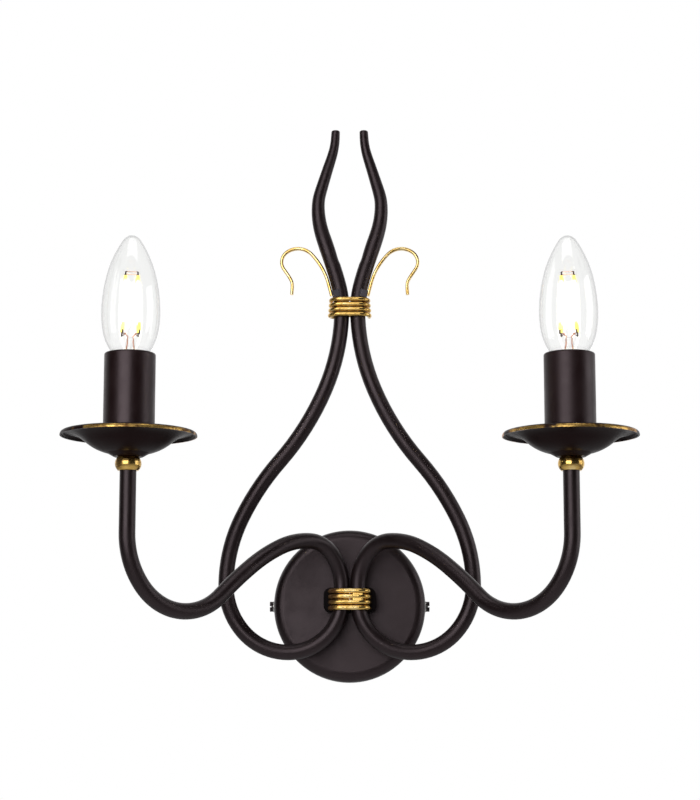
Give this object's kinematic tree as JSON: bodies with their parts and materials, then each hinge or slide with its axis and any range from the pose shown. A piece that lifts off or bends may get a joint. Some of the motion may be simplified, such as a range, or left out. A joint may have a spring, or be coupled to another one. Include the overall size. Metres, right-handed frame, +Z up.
{
  "type": "double arm wall sconce",
  "caption": "Wall sconce with two curved tube arms and candle lamps on drip pans, mirrored scroll bars with spear tips, wound bindings, curled tendrils and a round backplate.",
  "frame": {"origin": "centre of the backplate on the wall plane, half way between the two wall slots", "axes": "+X right, -Y out of the wall towards the viewer, +Z up; the left and right sides mirror each other about X = 0"},
  "size_m": [0.3404, 0.1803, 0.3568],
  "materials": {
    "brown_paint": "dark brown satin powder coat",
    "gold_paint": "antique gold, brushed, with brown shading",
    "black_steel": "black satin",
    "zinc_steel": "zinc plated",
    "contact_brass": "plain",
    "white_plastic": "moulded",
    "brown_wire": "insulated wire",
    "blue_wire": "insulated wire",
    "green_wire": "insulated wire",
    "holder_plastic": "moulded",
    "clear_glass": "clear",
    "nickel_cap": "nickel plated",
    "black_glass": "glazed insulator",
    "support_steel": "drawn wire",
    "filament": "phosphor coated rods"
  },
  "bodies": {
    "frame": {"wall_bracket": "zinc_steel", "earth_screw": "contact_brass", "backplate": "brown_paint", "boss": "brown_paint", "boss_screws": "zinc_steel", "wire_bush": "white_plastic", "terminal_block": "white_plastic", "clamp_screws": "contact_brass", "block_screw": "zinc_steel", "earth_wire": "green_wire", "live_wire_left": "brown_wire", "live_wire_right": "brown_wire", "neutral_wire_left": "blue_wire", "neutral_wire_right": "blue_wire", "scroll_left": "brown_paint", "scroll_right": "brown_paint", "arm_left": "brown_paint", "arm_right": "brown_paint", "upper_band": "gold_paint", "lower_band": "gold_paint", "tendril_left": "gold_paint", "tendril_right": "gold_paint", "root_tab_left": "brown_paint", "root_tab_right": "brown_paint", "ball_left": "gold_paint", "ball_right": "gold_paint", "drip_pan_left": "brown_paint", "drip_pan_right": "brown_paint", "nipple_left": "zinc_steel", "nipple_right": "zinc_steel", "lock_nut_left": "zinc_steel", "lock_nut_right": "zinc_steel", "sleeve_left": "brown_paint", "sleeve_right": "brown_paint", "lampholder_left": "holder_plastic", "lampholder_right": "holder_plastic", "screw_shell_left": "contact_brass", "screw_shell_right": "contact_brass", "centre_contact_left": "contact_brass", "centre_contact_right": "contact_brass"},
    "bulb_left": {"bulb_glass_left": "clear_glass", "bulb_cap_left": "nickel_cap", "bulb_insulator_left": "black_glass", "bulb_stem_left": "clear_glass", "bulb_supports_left": "support_steel", "bulb_filaments_left": "filament"},
    "bulb_contact_left": {"bulb_tip_left": "nickel_cap"},
    "side_screw_left": {"side_screw_left": "black_steel"},
    "side_washer_left": {"side_washer_left": "zinc_steel"},
    "bulb_right": {"bulb_glass_right": "clear_glass", "bulb_cap_right": "nickel_cap", "bulb_insulator_right": "black_glass", "bulb_stem_right": "clear_glass", "bulb_supports_right": "support_steel", "bulb_filaments_right": "filament"},
    "bulb_contact_right": {"bulb_tip_right": "nickel_cap"},
    "side_screw_right": {"side_screw_right": "black_steel"},
    "side_washer_right": {"side_washer_right": "zinc_steel"}
  },
  "joints": [
    {"name": "bulb_rise_left", "type": "slide", "parent": "frame", "child": "bulb_contact_left", "axis": [0, 0, 1], "range_m": [0, 0.0113]},
    {"name": "bulb_turn_left", "type": "hinge", "parent": "bulb_contact_left", "child": "bulb_left", "pos_m": [-0.1299, -0.14, 0.12], "axis": [0, 0, 1], "range_deg": [0, 1440]},
    {"name": "side_screw_travel_left", "type": "slide", "parent": "frame", "child": "side_washer_left", "axis": [-1, 0, 0], "range_m": [0, 0.0056]},
    {"name": "side_screw_turn_left", "type": "hinge", "parent": "side_washer_left", "child": "side_screw_left", "pos_m": [-0.0485, -0.009, 0], "axis": [-1, 0, 0], "range_deg": [0, 2880]},
    {"name": "bulb_rise_right", "type": "slide", "parent": "frame", "child": "bulb_contact_right", "axis": [0, 0, 1], "range_m": [0, 0.0113]},
    {"name": "bulb_turn_right", "type": "hinge", "parent": "bulb_contact_right", "child": "bulb_right", "pos_m": [0.1299, -0.14, 0.12], "axis": [0, 0, 1], "range_deg": [0, 1440]},
    {"name": "side_screw_travel_right", "type": "slide", "parent": "frame", "child": "side_washer_right", "axis": [1, 0, 0], "range_m": [0, 0.0056]},
    {"name": "side_screw_turn_right", "type": "hinge", "parent": "side_washer_right", "child": "side_screw_right", "pos_m": [0.0485, -0.009, 0], "axis": [1, 0, 0], "range_deg": [0, 2880]}
  ],
  "couplings": [
    {"joint": "bulb_rise_left", "follows": "bulb_turn_left", "m_per_rad": 0.00044913},
    {"joint": "side_screw_turn_left", "follows": "side_screw_travel_left", "rad_per_m": 8976},
    {"joint": "bulb_rise_right", "follows": "bulb_turn_right", "m_per_rad": 0.00044913},
    {"joint": "side_screw_turn_right", "follows": "side_screw_travel_right", "rad_per_m": 8976}
  ]
}
